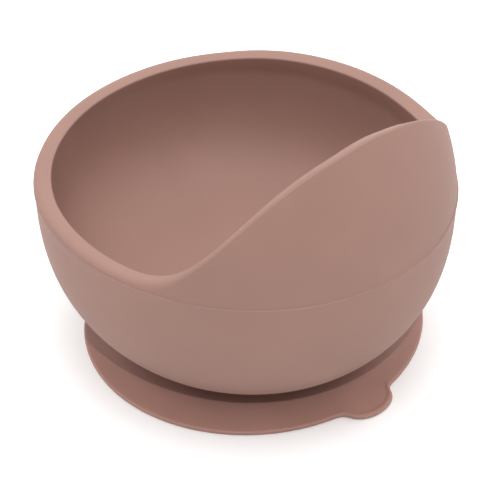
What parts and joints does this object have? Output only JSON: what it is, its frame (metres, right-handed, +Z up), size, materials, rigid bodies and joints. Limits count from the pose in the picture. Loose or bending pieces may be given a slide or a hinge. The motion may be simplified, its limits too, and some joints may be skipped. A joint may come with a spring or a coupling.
{
  "type": "suction bowl",
  "caption": "Round soft feeding bowl with one high curled-in wall, on a push-in suction base with a pull tab.",
  "frame": {"origin": "on the table under the centre of the bowl's widest circle, which is the bottom centre of the bounding box", "axes": "+Z up; the high wall and the pull tab point 42 degrees round from -Y towards +X"},
  "size_m": [0.123, 0.1236, 0.0942],
  "materials": {
    "bowl_silicone": "matte moulded silicone",
    "hub_silicone": "matte moulded silicone",
    "skirt_silicone": "matte moulded silicone, smooth on its sealing lip",
    "tab_silicone": "matte moulded silicone"
  },
  "bodies": {
    "skirt": {"suction_skirt": "skirt_silicone"},
    "hub": {"suction_hub": "hub_silicone"},
    "bowl": {"bowl": "bowl_silicone"},
    "tab": {"release_tab": "tab_silicone"}
  },
  "joints": [
    {"name": "suction_press", "type": "slide", "parent": "skirt", "child": "hub", "axis": [0, 0, 1], "range_m": [-0.0025, 0], "stiffness_N_per_m": 2000, "springref_m": 0.0015},
    {"name": "bowl_lift_off", "type": "slide", "parent": "hub", "child": "bowl", "axis": [0, 0, 1], "range_m": [0, 0.03]},
    {"name": "tab_lift", "type": "hinge", "parent": "skirt", "child": "tab", "pos_m": [0.03621, -0.03834, 0.0014], "axis": [-0.7547, -0.6561, 0], "range_deg": [0, 60], "stiffness_Nm_per_rad": 0.02}
  ]
}
